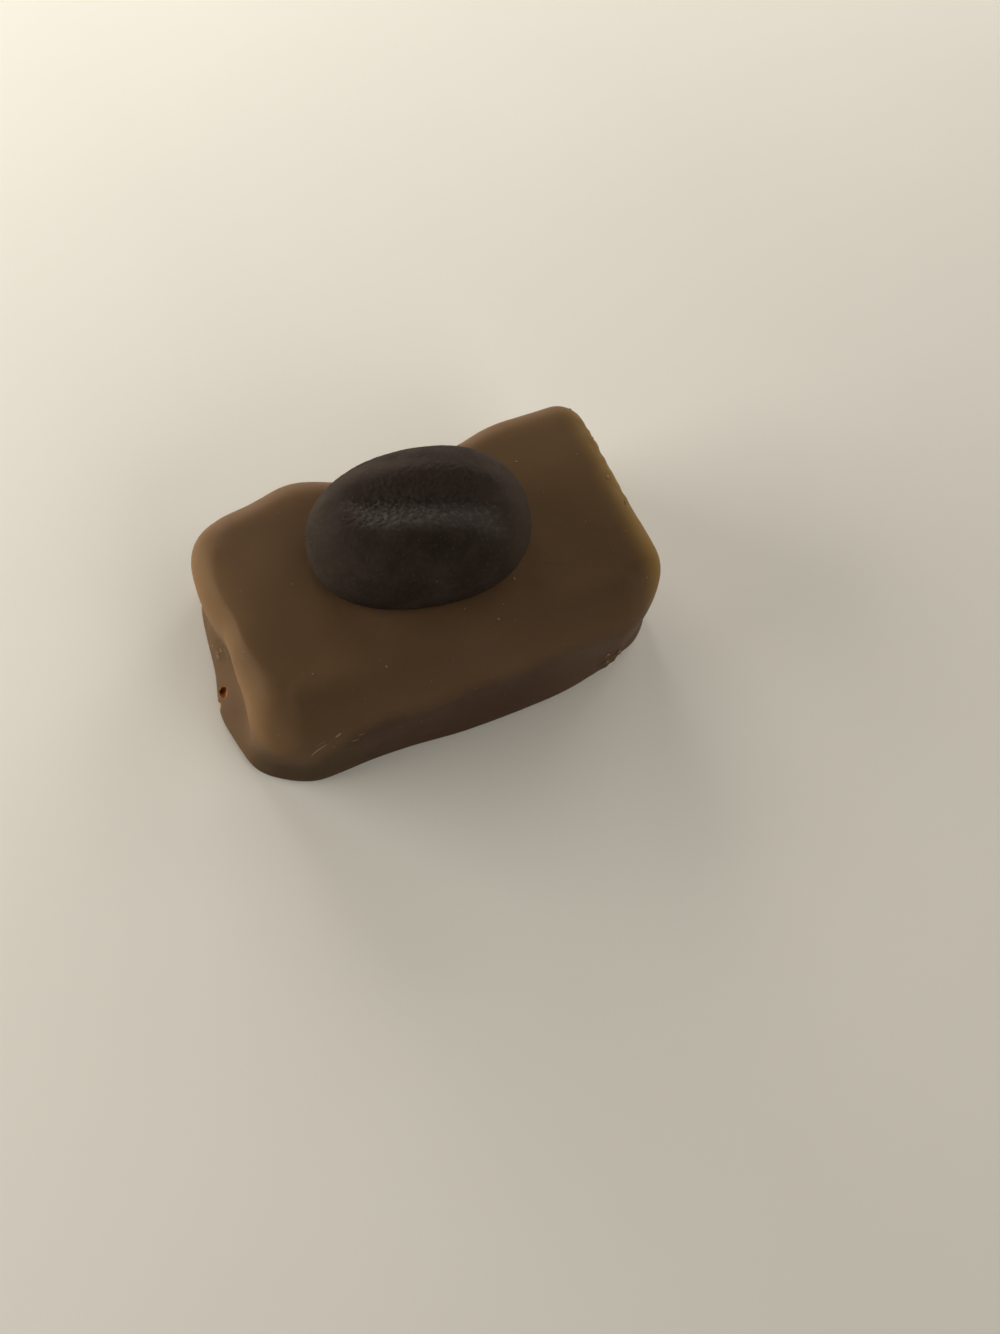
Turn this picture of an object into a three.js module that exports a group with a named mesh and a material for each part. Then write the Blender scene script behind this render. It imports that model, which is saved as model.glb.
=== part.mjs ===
// A chocolate praline: a rectangular block enrobed in milk chocolate, with a dark chocolate coffee
// bean pressed onto its top. Millimetres, +Z up, +X along the block, origin under the middle of it.
import * as THREE from "three";

// Driving dimensions of the enrobed block
const BLOCK_LENGTH = 36.4;
const BLOCK_WIDTH = 20.3;
const BLOCK_HEIGHT = 11.4;

// Places round the block are numbered anticlockwise: 0 is the middle of the right side, then back
// right corner, back, back left corner, left, front left corner, front, front right corner.
// Each list of eight gives its value at these places.
const ROLL_REACH = [2.0, 1.9, 2.2, 3.2, 1.3, 4.2, 3.8, 3.6]; // how far the rolled top edge comes in
const ROLL_DROP = [2.2, 2.2, 2.6, 3.4, 3.0, 8.8, 4.7, 4.8]; // how far it falls to the shoulder
const ROLL_SOFTNESS = [2.0, 2.0, 2.2, 2.2, 1.5, 2.1, 2.05, 2.05]; // exponent of its curve, 2 is an ellipse
const WAIST_DEPTH = [0.25, 0.25, 0.3, 0.4, 0.25, 0.0, 0.0, 0.15]; // hollow between shoulder and foot
const FOOT_REACH = [0.1, 0.1, 0.3, 0.3, 0.65, 0.45, 1.1, 0.4]; // coat that ran out at the base
const FOOT_RISE = [1.9, 1.9, 1.9, 1.9, 1.9, 2.2, 3.6, 2.8]; // how far up the wall it starts
const SIDE_SWELL = [0.15, 0.0, 0.2, 0.0, 0.2, -0.3, 0.4, 0.0]; // how far the outline bows out

// Smaller swells (positive) and hollows of the outline, with their spread in places
const CORNER_SWELLS = [
  { place: 3.04, amount: 0.36, spread: 0.3 },
  { place: 7.47, amount: 0.64, spread: 0.3 },
];
const BACK_SWELLS = [
  { place: 1.83, amount: -0.85, spread: 0.092 },
  { place: 2.1, amount: -1.1, spread: 0.178 },
  { place: 2.3, amount: 1.0, spread: 0.11 },
];
const BACK_SWELL_AT_BASE = 0.35; // share of the back's swells that is left at the base
const FOOT_SWELLS = [
  { place: 4.27, amount: 0.74, spread: 0.25 },
  { place: 4.85, amount: 0.44, spread: 0.25 },
  { place: 5.75, amount: -0.56, spread: 0.2 },
  { place: 6.3, amount: 0.15, spread: 0.12 },
  { place: 6.62, amount: -0.66, spread: 0.2 },
];
const LEFT_HOLLOWS = [
  { place: 3.98, amount: -0.85, spread: 0.2 },
  { place: 4.35, amount: -0.95, spread: 0.3 },
]; // the left end draws in above its foot

const WAIST_LEVEL = 3.2;
const WAIST_SPREAD = 1.6;
const BASE_ROUND = 0.45; // small round under the foot
const CORNER_RADIUS = [2.5, 4.1, 5.0, 4.2]; // in plan: back right, back left, front left, front right
const BACK_TAPER = 0.8; // each end leans in by this much from front to back
const BACK_SHIFT = 0.72; // the back of the outline lies this much further right than the front

// Waves that the setting coat leaves in the surface
const RIPPLE_HEIGHT = 0.08;
const RIPPLE_LENGTH = 13;

// The bean
const BEAN_LENGTH = 17.7;
const BEAN_WIDTH = 12.2;
const BEAN_HEIGHT = 7.6; // of its dome, before the groove is sunk
const BEAN_BELLY = 0.9; // level of its widest outline above its flat underside
const BEAN_FOOT = 0.95; // share of that outline left at the underside
const BEAN_FULLNESS = 2.3; // exponent of its side profile, where 2 is an ellipse
const BEAN_SQUARENESS = 2.25; // exponent of its plan
const BEAN_EGG = 0.04; // how much broader its right end is
const BEAN_PLACE = { x: -0.24, y: 1.64, turn: THREE.MathUtils.degToRad(-8.2) };
const GROOVE_LENGTH = 11.2;
const GROOVE_BACK_WIDTH = 1.05; // from its deepest line towards the back lip
const GROOVE_FRONT_WIDTH = 2.5; // and towards the front lip
const GROOVE_DEPTH = 1.55;
const GROOVE_OFFSET = 0.45; // its deepest line lies this far behind the bean's long axis
const GROOVE_SLANT = 0.23; // sideways run of the groove for each unit along the bean
const GROOVE_BEND = 0.2; // sideways swing of its slight S
const SEAT_GAP = 0.3; // between the underside of the bean and the top of the block
const SEAT_MARGIN = 1.35; // the coat lies flat out to this share of the bean's outline

// Facets
const CORNER_STEPS = 8;
const LONG_SIDE_STEPS = 25;
const SHORT_SIDE_STEPS = 13;
const ROLL_STEPS = 7;
const WALL_STEPS = 9;
const TOP_STEPS = 6;
const BASE_STEPS = 2;
const BASE_ROUND_STEPS = 2;
const BEAN_STEPS_ROUND = 64;
const BEAN_STEPS_UP = 19;

const { lerp, smoothstep, euclideanModulo } = THREE.MathUtils;
const bell = (distance, spread) => Math.exp(-((distance / spread) ** 2));

// Milk chocolate block

// Stations round the outline. Each has its place, its side, its share of the way along that side
// and, in the corner after it, how far it has turned.
function outlineStations() {
  const stations = [];
  const add = (side, share, turned) => {
    stations.push({ side, share, turned, place: 2 * side - 0.5 + share + turned });
  };
  for (let side = 0; side < 4; side++) {
    const steps = side % 2 ? LONG_SIDE_STEPS : SHORT_SIDE_STEPS;
    for (let i = 0; i < steps; i++) add(side, i / steps, 0);
    for (let i = 0; i < CORNER_STEPS; i++) add(side, 1, i / CORNER_STEPS);
  }
  return stations;
}

// A value given at the eight places, carried smoothly from each to the next
function around(place, values) {
  const before = Math.floor(place);
  const value = (i) => values[euclideanModulo(i, 8)];
  return lerp(value(before), value(before + 1), smoothstep(place - before, 0, 1));
}

function swellAt(place, swells) {
  let total = 0;
  for (const { place: middle, amount, spread } of swells) {
    const away = euclideanModulo(place - middle + 4, 8) - 4;
    total += amount * bell(away, spread);
  }
  return total;
}

// Plan point and outward direction of a station at the shoulder
function shoulderPoint({ side, share, turned, place }) {
  const cornerCentre = (corner) => {
    const signX = corner === 0 || corner === 3 ? 1 : -1;
    const signY = corner < 2 ? 1 : -1;
    const radius = CORNER_RADIUS[corner];
    return new THREE.Vector2(signX * (BLOCK_LENGTH / 2 - radius), signY * (BLOCK_WIDTH / 2 - radius));
  };
  const angle = ((side + turned) * Math.PI) / 2;
  const outward = new THREE.Vector2(Math.cos(angle), Math.sin(angle));
  const before = (side + 3) % 4;
  const start = cornerCentre(before).addScaledVector(outward, CORNER_RADIUS[before]);
  const end = cornerCentre(side).addScaledVector(outward, CORNER_RADIUS[side]);
  const point = turned > 0 ? end : start.lerp(end, share);
  point.addScaledVector(outward, around(place, SIDE_SWELL) + swellAt(place, CORNER_SWELLS));
  const back = point.y / BLOCK_WIDTH;
  point.x *= 1 - (2 * BACK_TAPER * (back + 0.5)) / BLOCK_LENGTH;
  point.x += BACK_SHIFT * back;
  return { point, outward };
}

// How far the wall stands out from the shoulder's outline at a level
function wallReach(place, level) {
  const foot = around(place, FOOT_REACH) + swellAt(place, FOOT_SWELLS);
  const waist = around(place, WAIST_DEPTH);
  const back = lerp(BACK_SWELL_AT_BASE, 1, smoothstep(level, 0, WAIST_LEVEL + WAIST_SPREAD));
  const runOut = bell(level, around(place, FOOT_RISE));
  return foot * runOut - waist * bell(level - WAIST_LEVEL, WAIST_SPREAD)
    + (1 - runOut) * swellAt(place, LEFT_HOLLOWS) + back * swellAt(place, BACK_SWELLS);
}

function placed(station, reach, level) {
  const { point, outward } = shoulderPoint(station);
  point.addScaledVector(outward, reach);
  return new THREE.Vector3(point.x, point.y, level);
}

// Rings of points from the middle of the base, up the sides, to the middle of the top
function blockRings() {
  const stations = outlineStations();
  const rings = [];
  for (let i = 1; i < BASE_STEPS; i++) {
    const edge = stations.map((s) => placed(s, wallReach(s.place, 0) - BASE_ROUND, 0));
    rings.push(edge.map((p) => p.multiplyScalar(i / BASE_STEPS)));
  }
  for (let i = 0; i < BASE_ROUND_STEPS; i++) {
    const angle = (i / BASE_ROUND_STEPS) * (Math.PI / 2);
    const level = BASE_ROUND * (1 - Math.cos(angle));
    const inward = BASE_ROUND * (1 - Math.sin(angle));
    rings.push(stations.map((s) => placed(s, wallReach(s.place, level) - inward, level)));
  }
  for (let i = 0; i < WALL_STEPS; i++) {
    rings.push(stations.map((s) => {
      const shoulder = BLOCK_HEIGHT - around(s.place, ROLL_DROP);
      const level = lerp(BASE_ROUND, shoulder, i / WALL_STEPS);
      return placed(s, wallReach(s.place, level), level);
    }));
  }
  for (let i = 0; i <= ROLL_STEPS; i++) {
    const angle = (i / ROLL_STEPS) * (Math.PI / 2);
    rings.push(stations.map((s) => {
      const drop = around(s.place, ROLL_DROP);
      const outer = Math.cos(angle) ** (2 / around(s.place, ROLL_SOFTNESS));
      const inward = around(s.place, ROLL_REACH) * (1 - outer);
      const level = BLOCK_HEIGHT - drop * (1 - Math.sin(angle));
      return placed(s, wallReach(s.place, BLOCK_HEIGHT - drop) - inward, level);
    }));
  }
  const plateEdge = rings.at(-1);
  for (let i = 1; i < TOP_STEPS; i++) {
    const scale = 1 - i / TOP_STEPS;
    rings.push(plateEdge.map((p) => new THREE.Vector3(p.x * scale, p.y * scale, p.z)));
  }
  return rings;
}

// Slow waves in the coat, none at the base and none where the bean sits
function ripple(p) {
  const k = (2 * Math.PI) / RIPPLE_LENGTH;
  const seat = new THREE.Vector2(p.x - BEAN_PLACE.x, p.y - BEAN_PLACE.y);
  seat.rotateAround(new THREE.Vector2(), -BEAN_PLACE.turn);
  const fromBean = Math.hypot((2 * seat.x) / BEAN_LENGTH, (2 * seat.y) / BEAN_WIDTH);
  const free = smoothstep(fromBean, 1, SEAT_MARGIN) * smoothstep(p.z, 0, BLOCK_HEIGHT / 2);
  const waves = Math.sin(k * (p.x + 0.7 * p.y) + 1) + Math.sin(k * (0.6 * p.x - 1.1 * p.y + p.z));
  return RIPPLE_HEIGHT * free * waves;
}

// Closed surface through rings of equal length, with a point at each end
function ringSolid(rings, first, last) {
  const count = rings[0].length;
  const vertices = [first, ...rings.flat(), last];
  const at = (r, i) => 1 + r * count + (i % count);
  const faces = [];
  for (let i = 0; i < count; i++) {
    faces.push(0, at(0, i + 1), at(0, i));
    for (let r = 0; r + 1 < rings.length; r++) {
      faces.push(at(r, i), at(r, i + 1), at(r + 1, i + 1));
      faces.push(at(r, i), at(r + 1, i + 1), at(r + 1, i));
    }
    faces.push(at(rings.length - 1, i), at(rings.length - 1, i + 1), vertices.length - 1);
  }
  const geometry = new THREE.BufferGeometry().setFromPoints(vertices);
  geometry.setIndex(faces);
  return geometry;
}

function milkChocolateBlock() {
  const rings = blockRings();
  for (const p of rings.flat()) p.z += ripple(p);
  const top = new THREE.Vector3(0, 0, BLOCK_HEIGHT);
  const geometry = ringSolid(rings, new THREE.Vector3(), top);
  geometry.computeVertexNormals();
  const material = new THREE.MeshStandardMaterial({ color: 0x5d4733, roughness: 0.5, metalness: 0 });
  const block = new THREE.Mesh(geometry, material);
  block.name = "milk_chocolate_block";
  return block;
}

// Dark chocolate bean

// Depth of the groove at a plan point of the bean
function grooveDepth(x, y) {
  const swing = GROOVE_BEND * Math.sin((2 * Math.PI * x) / BEAN_LENGTH);
  const across = y - (GROOVE_OFFSET + swing - GROOVE_SLANT * x);
  const ends = bell(x ** 3, (GROOVE_LENGTH / 2) ** 3);
  return GROOVE_DEPTH * ends * bell(across, across > 0 ? GROOVE_BACK_WIDTH : GROOVE_FRONT_WIDTH);
}

function beanRings() {
  const levels = [
    { scale: BEAN_FOOT / 2, level: 0 },
    { scale: BEAN_FOOT, level: 0 },
    { scale: lerp(BEAN_FOOT, 1, 0.75), level: BEAN_BELLY / 3 },
  ];
  for (let i = 0; i < BEAN_STEPS_UP; i++) {
    const angle = (i / BEAN_STEPS_UP) * (Math.PI / 2);
    const rise = Math.sin(angle) ** (2 / BEAN_FULLNESS);
    const scale = Math.cos(angle) ** (2 / BEAN_FULLNESS);
    levels.push({ scale, level: lerp(BEAN_BELLY, BEAN_HEIGHT, rise) });
  }
  const rounded = (value) => Math.sign(value) * Math.abs(value) ** (2 / BEAN_SQUARENESS);
  return levels.map(({ scale, level }) => {
    const points = [];
    for (let i = 0; i < BEAN_STEPS_ROUND; i++) {
      const turn = (2 * Math.PI * i) / BEAN_STEPS_ROUND;
      const along = rounded(Math.cos(turn));
      const x = (BEAN_LENGTH / 2) * scale * along;
      const y = (BEAN_WIDTH / 2) * scale * rounded(Math.sin(turn)) * (1 + BEAN_EGG * along);
      const dip = level > BEAN_BELLY ? grooveDepth(x, y) : 0;
      points.push(new THREE.Vector3(x, y, level - dip));
    }
    return points;
  });
}

function darkChocolateBean() {
  const top = new THREE.Vector3(0, 0, BEAN_HEIGHT - grooveDepth(0, 0));
  const geometry = ringSolid(beanRings(), new THREE.Vector3(), top);
  geometry.computeVertexNormals();
  const material = new THREE.MeshStandardMaterial({ color: 0x2a211c, roughness: 0.6, metalness: 0 });
  const bean = new THREE.Mesh(geometry, material);
  bean.name = "dark_chocolate_bean";
  bean.position.set(BEAN_PLACE.x, BEAN_PLACE.y, BLOCK_HEIGHT + SEAT_GAP);
  bean.rotation.z = BEAN_PLACE.turn;
  return bean;
}

// The group is moved so that the middle of its box is over the origin
const praline = new THREE.Group();
praline.add(milkChocolateBlock(), darkChocolateBean());
const box = new THREE.Box3().setFromObject(praline, true);
const middle = box.getCenter(new THREE.Vector3());
praline.position.set(-middle.x, -middle.y, -box.min.z);

export default praline;
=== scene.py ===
import math

import bmesh
import bpy
from mathutils import Matrix, Vector
from mathutils.bvhtree import BVHTree


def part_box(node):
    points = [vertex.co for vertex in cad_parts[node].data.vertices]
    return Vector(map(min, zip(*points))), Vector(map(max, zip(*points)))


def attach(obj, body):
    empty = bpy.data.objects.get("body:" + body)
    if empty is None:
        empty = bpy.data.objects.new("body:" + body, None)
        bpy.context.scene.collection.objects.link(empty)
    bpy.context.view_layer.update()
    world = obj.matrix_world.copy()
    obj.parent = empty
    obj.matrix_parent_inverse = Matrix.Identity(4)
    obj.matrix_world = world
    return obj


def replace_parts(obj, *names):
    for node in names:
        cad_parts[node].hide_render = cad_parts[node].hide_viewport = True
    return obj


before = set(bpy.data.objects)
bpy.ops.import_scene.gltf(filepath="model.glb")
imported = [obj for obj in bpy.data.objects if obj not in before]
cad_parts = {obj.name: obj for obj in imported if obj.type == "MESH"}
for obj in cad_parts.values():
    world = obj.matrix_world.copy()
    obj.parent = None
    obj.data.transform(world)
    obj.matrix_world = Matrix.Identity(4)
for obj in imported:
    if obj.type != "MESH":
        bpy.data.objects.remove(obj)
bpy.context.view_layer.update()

MM = 0.001
PER_SQUARE_MM = 1.0 / (MM * MM)

# The camera: where it stands, how it looks down, how it is rolled, and its focal length in pixels
CAMERA_PLACE = Vector((-18.11, -32.82, 88.61)) * MM
CAMERA_AZIMUTH = math.radians(-41.17)
CAMERA_PITCH = math.radians(68.74)
CAMERA_ROLL = math.radians(18.0)
CAMERA_SENSOR = 36.0
PICTURE_HEIGHT = 1334.0
FOCAL_PIXELS = 1085.0

# The bean: how far it is pressed into the coat, how it is turned, and the rough bottom of its groove
BEAN_SINK = 0.45 * MM
BEAN_TURN = math.radians(-8.2)
GROOVE_HALF_LENGTH = 6.4 * MM
GROOVE_HALF_WIDTH = 2.5 * MM
GROOVE_OFFSET = 0.2 * MM

# The left end, the front right foot and the right edge of the coat are rougher than the rest
ROUGH_PATCHES = (
    {"middle": Vector((-17.2, 2.8, 3.0)) * MM, "reach": Vector((1.3, 3.0, 3.4)) * MM, "most": 0.8},
    {"middle": Vector((13.6, -10.4, 1.8)) * MM, "reach": Vector((2.2, 1.8, 2.4)) * MM, "most": 1.0},
    {"middle": Vector((17.6, 3.0, 10.6)) * MM, "reach": Vector((0.9, 8.0, 1.6)) * MM, "most": 0.65},
)

# The burst air bubble in the foot of the left end, the bite out of the foot's edge beside it, and the dent
# in the front right foot, each a ball that is slightly lumpy
AIR_HOLE = {"middle": Vector((-18.16, -0.55, 1.13)) * MM, "radius": 0.51 * MM}
FOOT_BITE = {"middle": Vector((-19.12, -1.22, 0.45)) * MM, "radius": 0.52 * MM}
FOOT_DENT = {"middle": Vector((14.1, -10.5, 2.3)) * MM, "radius": 0.6 * MM}
BALL_LUMPS = 3.0
BALL_LUMP_HEIGHT = 0.12

# Where crumbs lie on the coat: on the right edge, at the front right foot and under the lip of the left end.
# Each box is given in millimetres, with the crumbs to a square millimetre in it, the size of its largest
# crumb, and how flat its crumbs are.
CRUMB_BOXES = (
    {"low": (16.6, -6.0, 7.5), "high": (20.0, 8.6, 12.0), "per_square": 0.3, "most": 0.5, "flat": 0.8},
    {"low": (12.0, -11.4, 1.3), "high": (15.4, -9.0, 4.0), "per_square": 1.6, "most": 0.6, "flat": 0.8},
    {"low": (-18.2, 1.8, 1.1), "high": (-16.6, 4.4, 4.2), "per_square": 1.8, "most": 0.5, "flat": 0.35},
)
CRUMB_FIRST_SEED = 11

# The shape of a grain of dust or a crumb, and how strongly small ones outnumber large ones
GRAIN_DENT = 0.9
GRAIN_DENT_SCALE = 1.7
GRAIN_BREADTH = 0.75
GRAIN_SMALLNESS = 3.0

# Scuffs on the front left roll, in millimetres: plan points of both ends, and the width in the middle
SCUFFS = (
    ((-13.78, -9.75), (-12.21, -9.71), 0.18),
    ((-13.3, -9.6), (-11.9, -9.55), 0.06),
    ((-11.58, -9.62), (-11.05, -9.53), 0.3),
    ((-10.44, -9.97), (-9.7, -10.0), 0.11),
    ((-9.9, -9.9), (-9.2, -9.95), 0.08),
    ((-15.9, -7.9), (-15.1, -8.0), 0.05),
)
SCUFF_STEPS = 10
SCUFF_BLUNTNESS = 0.04
SCUFF_RISE = 0.8
SCUFF_SINK = 0.01 * MM

# Over this height above its base a shell takes up the whole of its relief
FULL_RELIEF = 1.2 * MM

# Tones of the coat, with painted shade over its right half and down its front wall, painted light on its
# left roll and back edge, and a painted glow along its right edge
MILK_TONES = {
    "deep": (0.121, 0.0685, 0.0325, 1),
    "pale": (0.131, 0.0758, 0.0380, 1),
    "right_half_shade": (0.113, 0.0645, 0.0300, 1),
    "wall": (0.0705, 0.0385, 0.0228, 1),
    "wall_shade_left": (0.0750, 0.0460, 0.0226, 1),
    "wall_shade_right": (0.0960, 0.0555, 0.0325, 1),
    "right_edge_glow": (0.215, 0.123, 0.036, 1),
    "left_roll_light": (0.190, 0.106, 0.045, 1),
    "back_edge_light": (0.190, 0.106, 0.052, 1),
    "air_hole": (0.24, 0.095, 0.028, 1),
    "foot_bite": (0.165, 0.088, 0.037, 1),
    "speck": (0.19, 0.12, 0.07, 1),
}

# Where the tone of the coat changes, in millimetres: where each change starts and where it is full
# Painted shade over the right half of the coat
RIGHT_HALF_SHADE = (1.0, 13.0)
# Painted shade down the front wall: how high it reaches, where it starts in front, where it turns olive at
# the left and paler at the right, and how far it drops at the left corner
WALL_TOP = (10.0, 7.3)
WALL_FRONT = (-5.5, -8.0)
WALL_LEFT = (-8.0, -13.0)
WALL_RIGHT = (3.0, 12.0)
CORNER_DROP = (-8.0, -14.0)
CORNER_DROP_HEIGHT = 3.8 * MM
# Painted glow along the thin right edge
RIGHT_EDGE_GLOW = (15.5, 18.2)
RIGHT_EDGE_GLOW_LEVEL = (2.5, 11.0)
# Painted light on the left roll
LEFT_ROLL_LIGHT = (-13.0, -17.0)
LEFT_ROLL_LIGHT_LEVEL = (4.0, 8.0)
# Painted light along the back edge
BACK_EDGE_LIGHT = (7.5, 9.5)
BACK_EDGE_LIGHT_LEVEL = (7.5, 10.0)
HOLE_RIM = (0.62, 0.52)
BITE_RIM = (0.75, 0.5)
RAGGEDNESS = 1.2 * MM

# Tones of the bean, with painted light at its ends and behind its groove, and painted glints in its lit
# groove
DARK_TONES = {
    "deep": (0.0265, 0.0178, 0.0130, 1),
    "pale": (0.0415, 0.0292, 0.0212, 1),
    "end": (0.052, 0.038, 0.026, 1),
    "behind_groove_light": (0.056, 0.039, 0.030, 1),
    "stipple_glint": (0.072, 0.058, 0.045, 1),
    "speck": (0.10, 0.078, 0.06, 1),
}

# Where the tone of the bean changes, in millimetres; its lit groove runs down this slope in plan
# Painted light: the bean lighter towards both ends, most at the right
BEAN_LEFT_END = (-5.0, -8.0)
BEAN_RIGHT_END = (4.0, 6.5)
LIT_SLOPE = 0.4
LIT_MIDDLE = 0.75 * MM
LIT_SIDES = (2.2, 0.6)
LIT_ENDS = (6.5, 3.5)
# Painted light on the shaded back wall of the groove
BEHIND_NEAR = (1.8, 2.8)
BEHIND_FAR = (5.8, 4.6)
BEHIND_LEVEL = (15.5, 17.5)

# The stage: half the side of the floor, the glow of the room, and how much brighter its walls look
FLOOR_HALF = 0.6
ROOM_GLOW = 0.01
ROOM_WALLS = 0.5
LIGHT_WHITE = (1.0, 0.994, 0.966)


class Nodes:
    """Adds nodes to a tree, each with its inputs set or linked."""

    def __init__(self, tree):
        self.tree = tree

    def set(self, socket, value):
        if isinstance(value, bpy.types.NodeSocket):
            self.tree.links.new(value, socket)
        else:
            socket.default_value = value

    def add(self, kind, inputs=None, **settings):
        node = self.tree.nodes.new(kind)
        for name, value in settings.items():
            setattr(node, name, value)
        for key, value in (inputs or {}).items():
            self.set(node.inputs[key], value)
        return node

    def math(self, operation, *values):
        return self.add("ShaderNodeMath", dict(enumerate(values)), operation=operation).outputs[0]

    def plus(self, first, second):
        return self.math("ADD", first, second)

    def minus(self, first, second):
        return self.math("SUBTRACT", first, second)

    def times(self, first, second):
        return self.math("MULTIPLY", first, second)

    def vector(self, operation, **inputs):
        keys = {"a": 0, "b": 1, "scale": "Scale"}
        named = {keys[name]: value for name, value in inputs.items()}
        return self.add("ShaderNodeVectorMath", named, operation=operation).outputs[0]

    def distance(self, a, b):
        return self.add("ShaderNodeVectorMath", {0: a, 1: b}, operation="DISTANCE").outputs[1]

    def parts(self, vector):
        return self.add("ShaderNodeSeparateXYZ", {0: vector}).outputs

    def join(self, **parts):
        inputs = {name.upper(): value for name, value in parts.items()}
        return self.add("ShaderNodeCombineXYZ", inputs).outputs[0]

    def noise(self, vector, scale, detail=2.0, roughness=0.5, seed=0.0):
        inputs = {"Vector": vector, "W": seed, "Scale": scale, "Detail": detail, "Roughness": roughness}
        return self.add("ShaderNodeTexNoise", inputs, noise_dimensions="4D").outputs[0]

    def between(self, value, low, high, to_low=0.0, to_high=1.0):
        """A soft change from one value to another while the given value goes from low to high."""
        inputs = {"Value": value, "From Min": low, "From Max": high, "To Min": to_low, "To Max": to_high}
        return self.add("ShaderNodeMapRange", inputs, interpolation_type="SMOOTHSTEP").outputs[0]

    def run(self, length, ends, most=1.0):
        """A soft change from 0 to the most between two lengths in millimetres."""
        return self.between(length, ends[0] * MM, ends[1] * MM, 0.0, most)

    def spread(self, mask, low, high):
        """A mask from 0 to 1, spread softly over another range."""
        return self.between(mask, 0.0, 1.0, low, high)

    def mix_color(self, share, first, second):
        return self.add("ShaderNodeMix", {0: share, 6: first, 7: second}, data_type="RGBA").outputs[2]

    def group(self, tree, **inputs):
        return self.add("ShaderNodeGroup", inputs, node_tree=tree).outputs[0]


SOCKETS = {
    "geometry": "NodeSocketGeometry",
    "float": "NodeSocketFloat",
    "int": "NodeSocketInt",
    "vector": "NodeSocketVector",
    "material": "NodeSocketMaterial",
}


def new_tree(name, kind, inputs, outputs):
    """A node tree with named inputs and outputs, its builder and its two end nodes."""
    tree = bpy.data.node_groups.new(name, kind)
    for label, socket in inputs.items():
        tree.interface.new_socket(label, in_out="INPUT", socket_type=SOCKETS[socket])
    for label, socket in outputs.items():
        tree.interface.new_socket(label, in_out="OUTPUT", socket_type=SOCKETS[socket])
    nodes = Nodes(tree)
    given = nodes.add("NodeGroupInput").outputs
    result = nodes.add("NodeGroupOutput").inputs
    return tree, nodes, given, result


# Making pieces


def new_piece(name, mesh):
    piece = bpy.data.objects.new(name, mesh)
    bpy.context.scene.collection.objects.link(piece)
    return piece


def mesh_from(shell, name):
    mesh = bpy.data.meshes.new(name)
    shell.to_mesh(mesh)
    shell.free()
    return mesh


def ring_levels(shell):
    """How many rings each corner of a solid lies above the middle of its base."""
    front = [max(shell.verts, key=lambda corner: (len(corner.link_edges), -corner.co.z))]
    levels = {front[0]: 0}
    while front:
        reached = []
        for corner in front:
            for edge in corner.link_edges:
                other = edge.other_vert(corner)
                if other not in levels:
                    levels[other] = levels[corner] + 1
                    reached.append(other)
        front = reached
    return levels


def node_copy(node, name):
    """A copy of a solid with its corners merged and its triangles paired into rings of four-sided faces."""
    shell = bmesh.new()
    shell.from_mesh(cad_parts[node].data)
    bmesh.ops.remove_doubles(shell, verts=shell.verts, dist=0.001 * MM)
    levels = ring_levels(shell)
    slanted = []
    for face in shell.faces:
        for loop in face.loops:
            low = levels[loop.vert]
            ahead = levels[loop.link_loop_next.vert]
            behind = levels[loop.link_loop_prev.vert]
            if low > 0 and ahead == behind == low + 1:
                slanted.append(loop.edge)
    bmesh.ops.dissolve_edges(shell, edges=slanted)
    return new_piece(name, mesh_from(shell, name))


def finish_mesh(piece):
    """Turns a piece's modifiers into a plain mesh."""
    evaluated = piece.evaluated_get(bpy.context.evaluated_depsgraph_get())
    mesh = bpy.data.meshes.new_from_object(evaluated)
    piece.modifiers.clear()
    piece.data = mesh
    mesh.name = piece.name


def grow(piece, tree, **values):
    """Runs a geometry tree on a piece with the given input values."""
    modifier = piece.modifiers.new(tree.name, "NODES")
    modifier.node_group = tree
    for item in tree.interface.items_tree:
        if item.in_out == "INPUT" and item.name in values:
            modifier[item.identifier] = values[item.name]
    finish_mesh(piece)


def mark_rough(piece, share):
    """Writes on each corner of a piece how rough the chocolate is there, from 0 to 1."""
    marks = piece.data.attributes.new("rough", "FLOAT", "POINT").data
    for vertex, mark in zip(piece.data.vertices, marks):
        mark.value = share(vertex.co)


def patch_share(place, middle, reach, most):
    """The most in the middle of a rounded patch, falling to 0 at its reach."""
    away = Vector([(place[i] - middle[i]) / reach[i] for i in range(3)]).length
    return most * max(0.0, 1.0 - away * away)


# Geometry trees


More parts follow.
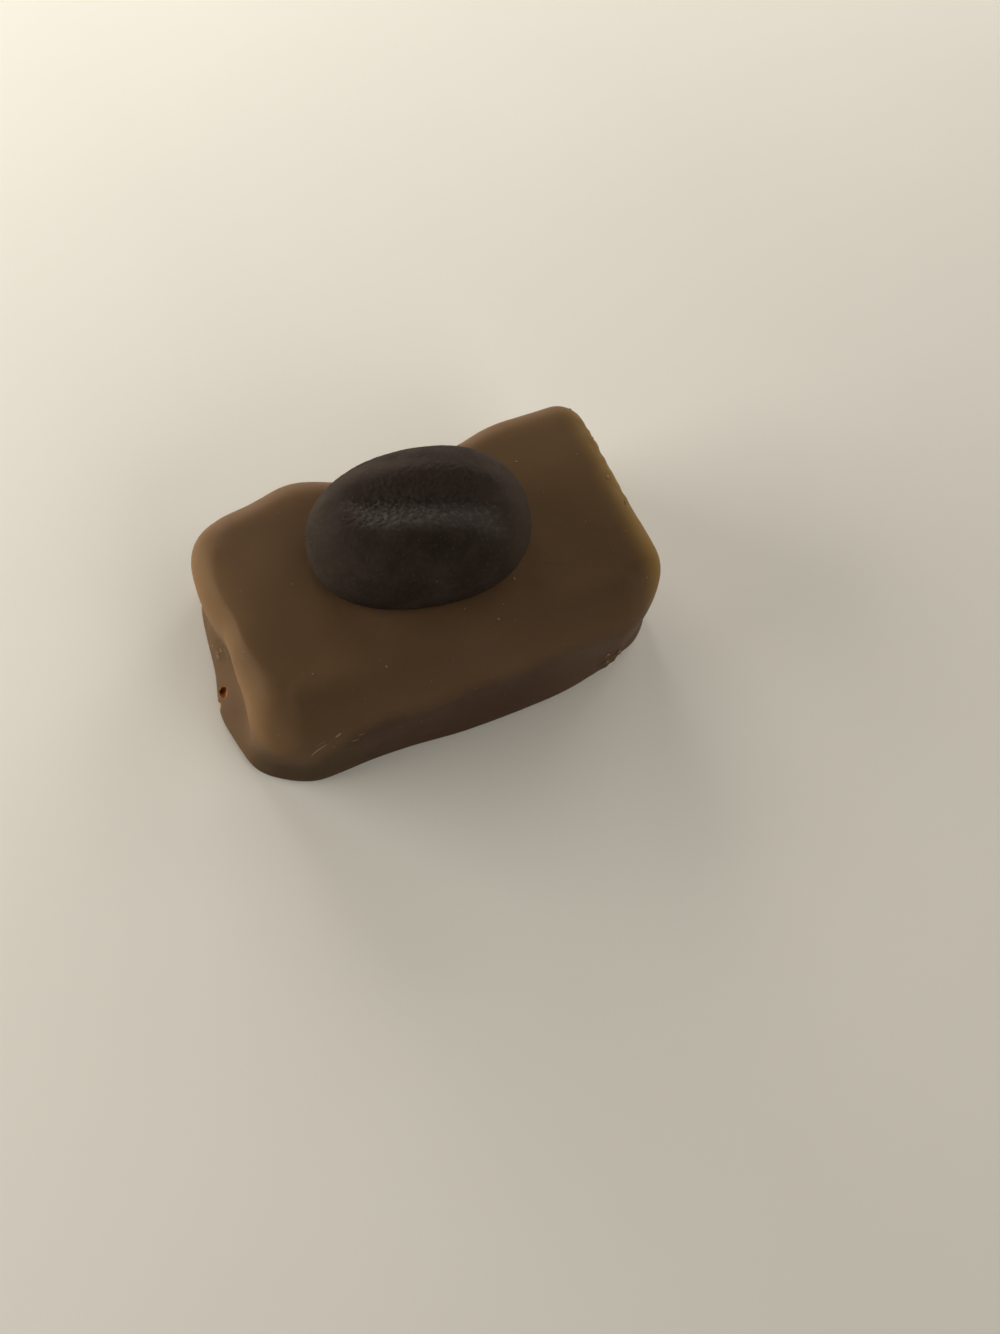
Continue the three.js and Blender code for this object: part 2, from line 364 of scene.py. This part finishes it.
def surface_relief_tree():
    """Rounds a shell and lifts it in waves, lumps and grain, and more where it is marked as rough.

    At its base it moves sideways only, so that it still rests flat.
    """
    tree, n, given, result = new_tree(
        "surface_relief",
        "GeometryNodeTree",
        {
            "Shell": "geometry",
            "Levels": "int",
            "Base": "float",
            "Wave_Length": "float",
            "Wave_Height": "float",
            "Lump_Size": "float",
            "Lump_Height": "float",
            "Grain_Size": "float",
            "Grain_Height": "float",
            "Rough_Size": "float",
            "Rough_Height": "float",
            "Seed": "int",
            "Material": "material",
        },
        {"Shell": "geometry"},
    )
    rounded = n.add("GeometryNodeSubdivisionSurface", {"Mesh": given["Shell"], "Level": given["Levels"]})
    place = n.add("GeometryNodeInputPosition").outputs[0]
    normal = n.add("GeometryNodeInputNormal").outputs[0]
    rough = n.add("GeometryNodeInputNamedAttribute", {"Name": "rough"}, data_type="FLOAT").outputs[0]

    def swing(size, height, detail):
        noise = n.noise(place, n.math("DIVIDE", 1.0, given[size]), detail, seed=given["Seed"])
        return n.times(n.minus(noise, 0.5), given[height])

    lift = n.plus(swing("Wave_Length", "Wave_Height", 1.0), swing("Lump_Size", "Lump_Height", 2.0))
    lift = n.plus(lift, swing("Grain_Size", "Grain_Height", 3.0))
    lift = n.plus(lift, n.times(swing("Rough_Size", "Rough_Height", 3.0), rough))
    run = n.parts(n.vector("SCALE", a=normal, scale=lift))
    level = n.minus(n.parts(place)[2], given["Base"])
    rise = n.times(run[2], n.between(level, 0.0, FULL_RELIEF))
    offset = n.join(x=run[0], y=run[1], z=rise)
    lifted = n.add("GeometryNodeSetPosition", {"Geometry": rounded.outputs[0], "Offset": offset})
    smooth = n.add("GeometryNodeSetShadeSmooth", {"Geometry": lifted.outputs[0]})
    real = n.add("GeometryNodeRealizeInstances", {"Geometry": smooth.outputs[0]})
    coloured = n.add("GeometryNodeSetMaterial", {"Geometry": real.outputs[0], "Material": given["Material"]})
    n.set(result["Shell"], coloured.outputs[0])
    return tree


def strewn_grains_tree():
    """Strews small rough grains over the faces of a shell inside a box, half sunk and lying flat."""
    tree, n, given, result = new_tree(
        "strewn_grains",
        "GeometryNodeTree",
        {
            "Shell": "geometry",
            "Per_Square": "float",
            "Least_Size": "float",
            "Most_Size": "float",
            "Flatness": "float",
            "Box_Low": "vector",
            "Box_High": "vector",
            "Least_Upward": "float",
            "Seed": "int",
            "Material": "material",
        },
        {"Grains": "geometry"},
    )
    place = n.add("GeometryNodeInputPosition").outputs[0]
    normal = n.add("GeometryNodeInputNormal").outputs[0]
    upward = n.math("GREATER_THAN", n.parts(normal)[2], given["Least_Upward"])
    density = n.times(given["Per_Square"], upward)
    for upper, lower in ((place, given["Box_Low"]), (given["Box_High"], place)):
        for gap in n.parts(n.vector("SUBTRACT", a=upper, b=lower)):
            density = n.times(density, n.math("GREATER_THAN", gap, 0.0))
    points = n.add(
        "GeometryNodeDistributePointsOnFaces",
        {"Mesh": given["Shell"], "Density": density, "Seed": given["Seed"]},
    )
    ball = n.add("GeometryNodeMeshIcoSphere", {"Radius": 0.5, "Subdivisions": 1}).outputs[0]
    noise = n.add("ShaderNodeTexNoise", {"Scale": GRAIN_DENT_SCALE}).outputs[1]
    dents = n.vector("SCALE", a=n.vector("SUBTRACT", a=noise, b=(0.5, 0.5, 0.5)), scale=GRAIN_DENT)
    grain = n.add("GeometryNodeSetPosition", {"Geometry": ball, "Offset": dents})

    def chance(most):
        inputs = {2: 0.0, 3: most, "Seed": given["Seed"]}
        return n.add("FunctionNodeRandomValue", inputs, data_type="FLOAT").outputs[1]

    spread = n.minus(given["Most_Size"], given["Least_Size"])
    extra = n.times(n.math("POWER", chance(1.0), GRAIN_SMALLNESS), spread)
    size = n.plus(given["Least_Size"], extra)
    shape = n.join(x=size, y=n.times(size, GRAIN_BREADTH), z=n.times(size, given["Flatness"]))
    strewn = n.add(
        "GeometryNodeInstanceOnPoints",
        {
            "Points": points.outputs["Points"],
            "Instance": grain.outputs[0],
            "Rotation": points.outputs["Rotation"],
            "Scale": shape,
        },
    )
    spin = n.join(z=chance(math.tau))
    turned = n.add("GeometryNodeRotateInstances", {"Instances": strewn.outputs[0], "Rotation": spin})
    real = n.add("GeometryNodeRealizeInstances", {"Geometry": turned.outputs[0]})
    coloured = n.add("GeometryNodeSetMaterial", {"Geometry": real.outputs[0], "Material": given["Material"]})
    n.set(result["Grains"], coloured.outputs[0])
    return tree


# Shader groups


def soft_clouds_group():
    """Soft patches of noise, spread from 0 to 1."""
    tree, n, given, result = new_tree(
        "soft_clouds",
        "ShaderNodeTree",
        {"Place": "vector", "Size": "float", "Low": "float", "High": "float"},
        {"Mask": "float"},
    )
    cloud = n.noise(given["Place"], n.math("DIVIDE", 1.0, given["Size"]), detail=4.0, roughness=0.55)
    n.set(result["Mask"], n.between(cloud, given["Low"], given["High"]))
    return tree


def fine_specks_group():
    """Small round specks, each in its own cell, on a given share of the cells."""
    tree, n, given, result = new_tree(
        "fine_specks",
        "ShaderNodeTree",
        {"Place": "vector", "Cell": "float", "Share": "float", "Radius": "float"},
        {"Mask": "float"},
    )
    scale = n.math("DIVIDE", 1.0, given["Cell"])
    cells = n.add("ShaderNodeTexVoronoi", {"Vector": given["Place"], "Scale": scale, "Randomness": 1.0})
    chance = n.add("ShaderNodeSeparateColor", {0: cells.outputs["Color"]}).outputs[0]
    chosen = n.math("LESS_THAN", chance, given["Share"])
    core = n.times(given["Radius"], 0.4)
    spot = n.between(cells.outputs["Distance"], given["Radius"], core)
    n.set(result["Mask"], n.times(spot, chosen))
    return tree


def set_grain_group():
    """Height of the fine unevenness of set chocolate."""
    tree, n, given, result = new_tree(
        "set_grain",
        "ShaderNodeTree",
        {"Place": "vector", "Size": "float", "Fineness": "float"},
        {"Height": "float"},
    )
    scale = n.math("DIVIDE", 1.0, given["Size"])
    coarse = n.noise(given["Place"], scale, detail=2.0)
    fine = n.noise(given["Place"], n.times(scale, 4.0), detail=3.0)
    n.set(result["Height"], n.plus(coarse, n.times(fine, given["Fineness"])))
    return tree


CLOUDS = soft_clouds_group()
SPECKS = fine_specks_group()
GRAIN = set_grain_group()


# Materials


def new_material(name):
    """A material with a Principled shader, its builder, its Object coordinates and the shader's inputs."""
    material = bpy.data.materials.new(name)
    material.use_nodes = True
    material.node_tree.nodes.clear()
    n = Nodes(material.node_tree)
    place = n.add("ShaderNodeTexCoord").outputs["Object"]
    shader = n.add("ShaderNodeBsdfPrincipled")
    n.add("ShaderNodeOutputMaterial", {"Surface": shader.outputs[0]})
    return material, n, place, shader.inputs


def roughen(n, place, shader, size, fineness, depth):
    """Gives a shader the fine bumps of set chocolate."""
    height = n.group(GRAIN, Place=place, Size=size, Fineness=fineness)
    bump = n.add("ShaderNodeBump", {"Height": height, "Distance": depth, "Strength": 1.0})
    n.set(shader["Normal"], bump.outputs[0])


def milk_chocolate():
    """Milk chocolate with painted shade down the front wall and over its right half, painted light on the
    left roll and back edge, a painted golden glow along the thin right edge, and orange in the air hole.
    """
    material, n, place, shader = new_material("milk_chocolate")
    x, y, z = n.parts(place)
    wander = n.group(CLOUDS, Place=place, Size=4.0 * MM, Low=0.2, High=0.8)
    ragged = n.times(wander, RAGGEDNESS)
    ragged_level = n.plus(z, ragged)

    clouds = n.group(CLOUDS, Place=place, Size=9.0 * MM, Low=0.35, High=0.7)
    colour = n.mix_color(clouds, MILK_TONES["deep"], MILK_TONES["pale"])
    # Painted shade: the coat darker over its right half
    colour = n.mix_color(n.run(x, RIGHT_HALF_SHADE), colour, MILK_TONES["right_half_shade"])

    # Painted shade down the front wall, lower at the left corner
    wall_level = n.plus(ragged_level, n.run(x, CORNER_DROP, CORNER_DROP_HEIGHT))
    wall = n.times(n.run(wall_level, WALL_TOP), n.run(y, WALL_FRONT))
    wall_shade = n.mix_color(n.run(x, WALL_LEFT), MILK_TONES["wall"], MILK_TONES["wall_shade_left"])
    wall_shade = n.mix_color(n.run(x, WALL_RIGHT), wall_shade, MILK_TONES["wall_shade_right"])
    colour = n.mix_color(wall, colour, wall_shade)

    # Painted glow: a golden band of light along the thin right edge
    right = n.run(n.plus(x, n.times(ragged, 0.4)), RIGHT_EDGE_GLOW)
    right = n.times(right, n.run(ragged_level, RIGHT_EDGE_GLOW_LEVEL))
    colour = n.mix_color(right, colour, MILK_TONES["right_edge_glow"])
    # Painted light: the left roll lighter and more orange
    left = n.times(n.run(n.plus(x, ragged), LEFT_ROLL_LIGHT), n.run(z, LEFT_ROLL_LIGHT_LEVEL))
    colour = n.mix_color(left, colour, MILK_TONES["left_roll_light"])
    # Painted light: the back edge of the top lighter
    back = n.times(n.run(y, BACK_EDGE_LIGHT, 0.45), n.run(z, BACK_EDGE_LIGHT_LEVEL))
    colour = n.mix_color(back, colour, MILK_TONES["back_edge_light"])

    hole = n.run(n.distance(place, AIR_HOLE["middle"]), HOLE_RIM)
    colour = n.mix_color(hole, colour, MILK_TONES["air_hole"])
    bite = n.run(n.distance(place, FOOT_BITE["middle"]), BITE_RIM)
    colour = n.mix_color(bite, colour, MILK_TONES["foot_bite"])
    specks = n.group(SPECKS, Place=place, Cell=1.3 * MM, Share=0.12, Radius=0.11)
    colour = n.mix_color(n.times(specks, 0.35), colour, MILK_TONES["speck"])
    n.set(shader["Base Color"], colour)

    patches = n.group(CLOUDS, Place=place, Size=3.0 * MM, Low=0.3, High=0.7)
    n.set(shader["Roughness"], n.spread(patches, 0.5, 0.6))
    roughen(n, place, shader, size=0.7 * MM, fineness=0.35, depth=0.012 * MM)
    shader["Specular IOR Level"].default_value = 0.045
    shader["Subsurface Weight"].default_value = 0.2
    shader["Subsurface Radius"].default_value = (1.0, 0.6, 0.35)
    shader["Subsurface Scale"].default_value = 0.6 * MM
    return material


def dark_chocolate():
    """Dull dark chocolate, with pale, finely dotted painted glints and a faint gloss in the lit groove, and
    painted light at its ends and behind the groove.
    """
    material, n, place, shader = new_material("dark_chocolate")
    x, y, z = n.parts(place)
    clouds = n.group(CLOUDS, Place=place, Size=2.4 * MM, Low=0.35, High=0.75)
    colour = n.mix_color(clouds, DARK_TONES["deep"], DARK_TONES["pale"])
    # Painted light: lighter towards both ends of the bean
    ends = n.plus(n.run(x, BEAN_LEFT_END, 0.3), n.run(x, BEAN_RIGHT_END, 0.7))
    colour = n.mix_color(ends, colour, DARK_TONES["end"])

    aside = n.plus(y, n.times(x, LIT_SLOPE))
    # Painted light lifting the shaded back wall of the groove
    behind = n.times(n.run(aside, BEHIND_NEAR), n.run(aside, BEHIND_FAR))
    behind = n.times(behind, n.run(z, BEHIND_LEVEL, 0.6))
    colour = n.mix_color(behind, colour, DARK_TONES["behind_groove_light"])
    sides = n.run(n.math("ABSOLUTE", n.minus(aside, LIT_MIDDLE)), LIT_SIDES)
    groove = n.times(sides, n.run(n.math("ABSOLUTE", x), LIT_ENDS))

    # Painted glints: a pale fine stipple over the lit groove
    stipple_glint = n.group(CLOUDS, Place=place, Size=0.4 * MM, Low=0.45, High=0.7)
    stipple_glint = n.times(stipple_glint, n.spread(groove, 0.12, 0.6))
    colour = n.mix_color(stipple_glint, colour, DARK_TONES["stipple_glint"])
    specks = n.group(SPECKS, Place=place, Cell=0.33 * MM, Share=0.3, Radius=0.3)
    colour = n.mix_color(n.times(specks, 0.25), colour, DARK_TONES["speck"])
    n.set(shader["Base Color"], colour)

    patches = n.group(CLOUDS, Place=place, Size=1.5 * MM, Low=0.3, High=0.7)
    n.set(shader["Roughness"], n.spread(patches, 0.72, 0.85))
    n.set(shader["Coat Weight"], n.spread(groove, 0.0, 0.27))
    roughen(n, place, shader, size=0.4 * MM, fineness=0.5, depth=0.03 * MM)
    shader["Coat Roughness"].default_value = 0.62
    shader["Specular IOR Level"].default_value = 0.045
    return material


def chocolate_dust(name, dark, light):
    """Fine dust, each grain somewhere between two tones."""
    material, n, place, shader = new_material(name)
    clouds = n.group(CLOUDS, Place=place, Size=1.0 * MM, Low=0.3, High=0.7)
    n.set(shader["Base Color"], n.mix_color(clouds, dark, light))
    shader["Roughness"].default_value = 0.8
    return material


def pale_floor():
    material, n, place, shader = new_material("pale_floor")
    clouds = n.group(CLOUDS, Place=place, Size=40.0 * MM, Low=0.2, High=0.8)
    colour = n.mix_color(clouds, (0.865, 0.805, 0.70, 1), (0.89, 0.835, 0.725, 1))
    n.set(shader["Base Color"], colour)
    shader["Roughness"].default_value = 0.85
    shader["Specular IOR Level"].default_value = 0.2
    return material


MILK = milk_chocolate()
DARK = dark_chocolate()
# Crumbs are real grains; their paleness over the coat's tone is painted glint
CRUMB_WITH_GLINTS = chocolate_dust("milk_chocolate_crumb", (0.16, 0.094, 0.045, 1), (0.30, 0.19, 0.105, 1))
MILK_DUST = chocolate_dust("milk_chocolate_dust", (0.165, 0.097, 0.053, 1), (0.27, 0.175, 0.11, 1))
SCUFF = chocolate_dust("milk_chocolate_scuff", (0.22, 0.155, 0.098, 1), (0.31, 0.225, 0.147, 1))
DARK_DUST = chocolate_dust("dark_chocolate_dust", (0.035, 0.027, 0.021, 1), (0.065, 0.052, 0.042, 1))

RELIEF = surface_relief_tree()
STREWN = strewn_grains_tree()


# The enrobed block


def cut_ball(piece, middle, radius):
    """Takes a slightly lumpy ball out of a piece."""
    shell = bmesh.new()
    bmesh.ops.create_icosphere(shell, subdivisions=3, radius=radius)
    for vertex in shell.verts:
        around = math.atan2(vertex.co.y, vertex.co.z)
        swell = 1.0 + BALL_LUMP_HEIGHT * math.sin(BALL_LUMPS * around)
        vertex.co = vertex.co * swell + middle
    for face in shell.faces:
        face.smooth = True
    ball = new_piece("ball", mesh_from(shell, "ball"))
    cut = piece.modifiers.new("ball", "BOOLEAN")
    cut.object = ball
    cut.solver = "EXACT"
    finish_mesh(piece)
    bpy.data.objects.remove(ball)


def enrobed_block():
    piece = node_copy("milk_chocolate_block", "milk_chocolate_coat")
    mark_rough(piece, lambda place: max(patch_share(place, **patch) for patch in ROUGH_PATCHES))
    grow(
        piece,
        RELIEF,
        Levels=2,
        Base=0.0,
        Wave_Length=6.0 * MM,
        Wave_Height=0.14 * MM,
        Lump_Size=1.8 * MM,
        Lump_Height=0.05 * MM,
        Grain_Size=0.8 * MM,
        Grain_Height=0.012 * MM,
        Rough_Size=0.9 * MM,
        Rough_Height=0.9 * MM,
        Seed=2,
        Material=MILK,
    )
    for ball in (AIR_HOLE, FOOT_BITE, FOOT_DENT):
        cut_ball(piece, **ball)
    piece.data.set_sharp_from_angle(angle=math.radians(45))
    return piece


# The bean


def coffee_bean():
    piece = node_copy("dark_chocolate_bean", "dark_chocolate_bean_shell")
    low, high = (Vector(corner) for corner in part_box("dark_chocolate_bean"))
    middle = (low + high) / 2
    for vertex in piece.data.vertices:
        if vertex.co.z < low.z + 0.1 * MM:
            vertex.co.z -= BEAN_SINK

    def groove_share(place):
        along, across, above = Matrix.Rotation(-BEAN_TURN, 3, "Z") @ (place - middle)
        aside = (across - GROOVE_OFFSET) / GROOVE_HALF_WIDTH
        share = 1.0 - aside**2 - (along / GROOVE_HALF_LENGTH) ** 4
        return max(0.0, share) if above > 0 else 0.0

    mark_rough(piece, groove_share)
    grow(
        piece,
        RELIEF,
        Levels=3,
        Base=low.z - BEAN_SINK,
        Wave_Length=4.5 * MM,
        Wave_Height=0.16 * MM,
        Lump_Size=1.3 * MM,
        Lump_Height=0.07 * MM,
        Grain_Size=0.45 * MM,
        Grain_Height=0.05 * MM,
        Rough_Size=0.32 * MM,
        Rough_Height=0.5 * MM,
        Seed=5,
        Material=DARK,
    )
    return piece


# Dust, crumbs and scuffs


def strew(shell, name, low, high, **values):
    """Grains on a piece inside the box between two corners, given in millimetres."""
    piece = new_piece(name, shell.data.copy())
    grow(piece, STREWN, Box_Low=Vector(low) * MM, Box_High=Vector(high) * MM, **values)
    return piece


def coat_dust(shell):
    return strew(
        shell,
        "coat_dust",
        (-20.0, -12.0, 3.0),
        (20.0, 12.0, 12.0),
        Per_Square=0.045 * PER_SQUARE_MM,
        Least_Size=0.1 * MM,
        Most_Size=0.34 * MM,
        Flatness=0.5,
        Least_Upward=0.0,
        Seed=7,
        Material=MILK_DUST,
    )


def coat_crumbs(shell):
    """The crumbs of all the boxes, as one piece."""
    joined = bmesh.new()
    for seed, box in enumerate(CRUMB_BOXES, CRUMB_FIRST_SEED):
        patch = strew(
            shell,
            "crumb_patch",
            box["low"],
            box["high"],
            Per_Square=box["per_square"] * PER_SQUARE_MM,
            Least_Size=0.15 * MM,
            Most_Size=box["most"] * MM,
            Flatness=box["flat"],
            Least_Upward=-0.7,
            Seed=seed,
            Material=CRUMB_WITH_GLINTS,
        )
        joined.from_mesh(patch.data)
        bpy.data.objects.remove(patch)
    mesh = mesh_from(joined, "coat_crumbs")
    mesh.materials.append(CRUMB_WITH_GLINTS)
    return new_piece("coat_crumbs", mesh)


def bean_dust(shell):
    return strew(
        shell,
        "bean_dust",
        (-20.0, -12.0, 12.5),
        (20.0, 12.0, 20.0),
        Per_Square=0.08 * PER_SQUARE_MM,
        Least_Size=0.06 * MM,
        Most_Size=0.24 * MM,
        Flatness=0.5,
        Least_Upward=0.1,
        Seed=3,
        Material=DARK_DUST,
    )


def add_curl(curls, surface, above, start, end, width):
    """One thin curl along a line on a surface, three-sided and pointed at both ends."""
    down = Vector((0.0, 0.0, -1.0))
    run = (Vector(end) - Vector(start)).normalized()
    aside = Vector((-run.y, run.x, 0.0))
    rows = []
    for step in range(SCUFF_STEPS + 1):
        share = step / SCUFF_STEPS
        plan = Vector(start).lerp(Vector(end), share) * MM
        place, normal = surface.ray_cast(Vector((plan.x, plan.y, above)), down)[:2]
        swell = math.sin(math.pi * (SCUFF_BLUNTNESS + (1.0 - 2.0 * SCUFF_BLUNTNESS) * share))
        half = 0.5 * width * MM * swell
        across = (aside - normal * aside.dot(normal)).normalized()
        foot = place - normal * SCUFF_SINK
        corners = (foot - across * half, foot + normal * half * SCUFF_RISE, foot + across * half)
        rows.append([curls.verts.new(corner) for corner in corners])
    for before, after in zip(rows, rows[1:]):
        for first, second in ((0, 1), (1, 2), (2, 0)):
            curls.faces.new((before[first], after[first], after[second], before[second]))
    curls.faces.new(rows[0])
    curls.faces.new(rows[-1][::-1])


def front_scuffs(shell):
    """Thin curls of chocolate scraped up along short lines."""
    surface = BVHTree.FromPolygons(
        [vertex.co for vertex in shell.data.vertices],
        [tuple(polygon.vertices) for polygon in shell.data.polygons],
    )
    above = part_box("milk_chocolate_block")[1].z + 1.0 * MM
    curls = bmesh.new()
    for start, end, width in SCUFFS:
        add_curl(curls, surface, above, start, end, width)
    bmesh.ops.recalc_face_normals(curls, faces=curls.faces)
    mesh = mesh_from(curls, "front_scuffs")
    mesh.materials.append(SCUFF)
    return new_piece("front_scuffs", mesh)


block = enrobed_block()
bean = coffee_bean()
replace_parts(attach(block, "root"), "milk_chocolate_block")
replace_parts(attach(bean, "root"), "dark_chocolate_bean")
for piece in (coat_dust(block), coat_crumbs(block), front_scuffs(block)):
    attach(piece, "root")
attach(bean_dust(bean), "root")


# Floor, light and camera


def add_floor():
    corners = [(x * FLOOR_HALF, y * FLOOR_HALF, 0) for x, y in ((-1, -1), (1, -1), (1, 1), (-1, 1))]
    mesh = bpy.data.meshes.new("floor")
    mesh.from_pydata(corners, [], [(0, 1, 2, 3)])
    mesh.materials.append(pale_floor())
    new_piece("floor", mesh)


def add_window(name, azimuth, elevation, distance, size, power):
    """A soft light of the given width and height that faces the middle of the praline."""
    light = bpy.data.lights.new(name, "AREA")
    light.shape = "RECTANGLE"
    light.size, light.size_y = size
    light.energy = power
    light.color = LIGHT_WHITE
    turn, rise = math.radians(azimuth), math.radians(elevation)
    away = Vector((math.cos(turn) * math.cos(rise), math.sin(turn) * math.cos(rise), math.sin(rise)))
    lamp = bpy.data.objects.new(name, light)
    facing = away.to_track_quat("Z", "Y").to_matrix().to_4x4()
    lamp.matrix_world = Matrix.Translation(away * distance) @ facing
    lamp.visible_camera = False
    bpy.context.scene.collection.objects.link(lamp)


def add_room():
    """A dim room that lights the praline little, with pale walls behind the floor."""
    world = bpy.data.worlds.new("dim_room")
    world.use_nodes = True
    n = Nodes(world.node_tree)
    walls = world.node_tree.nodes["Background"].inputs
    walls["Color"].default_value = (1.0, 0.95, 0.87, 1)
    seen = n.add("ShaderNodeLightPath").outputs["Is Camera Ray"]
    n.set(walls["Strength"], n.math("MULTIPLY_ADD", seen, ROOM_WALLS, ROOM_GLOW))
    bpy.context.scene.world = world


def add_light():
    add_window("left_window", 154.0, 15.0, 0.24, (0.21, 0.12), 0.59)
    add_window("back_window", 90.0, 17.0, 0.24, (0.13, 0.12), 0.33)
    add_window("right_window", 40.0, 15.0, 0.24, (0.12, 0.12), 0.135)
    add_window("right_softbox", 20.0, 25.0, 1.0, (0.6, 0.6), 1.6)
    add_window("front_softbox", 293.0, 27.0, 1.0, (0.6, 0.6), 2.4)
    add_window("corner_softbox", 330.0, 42.0, 1.0, (0.6, 1.0), 2.3)
    add_room()


def add_camera():
    back = Vector((
        math.sin(CAMERA_AZIMUTH) * math.cos(CAMERA_PITCH),
        -math.cos(CAMERA_AZIMUTH) * math.cos(CAMERA_PITCH),
        math.sin(CAMERA_PITCH),
    ))
    level = Vector((math.cos(CAMERA_AZIMUTH), math.sin(CAMERA_AZIMUTH), 0.0))
    top = back.cross(level)
    right = level * math.cos(CAMERA_ROLL) + top * math.sin(CAMERA_ROLL)
    up = top * math.cos(CAMERA_ROLL) - level * math.sin(CAMERA_ROLL)
    lens = bpy.data.cameras.new("camera")
    lens.sensor_width = CAMERA_SENSOR
    lens.lens = CAMERA_SENSOR * FOCAL_PIXELS / PICTURE_HEIGHT
    lens.clip_start = 1.0 * MM
    camera = bpy.data.objects.new("camera", lens)
    turned = Matrix((right, up, back)).transposed().to_4x4()
    camera.matrix_world = Matrix.Translation(CAMERA_PLACE) @ turned
    bpy.context.scene.collection.objects.link(camera)
    bpy.context.scene.camera = camera


add_floor()
add_light()
add_camera()
bpy.context.scene.view_settings.view_transform = "Standard"
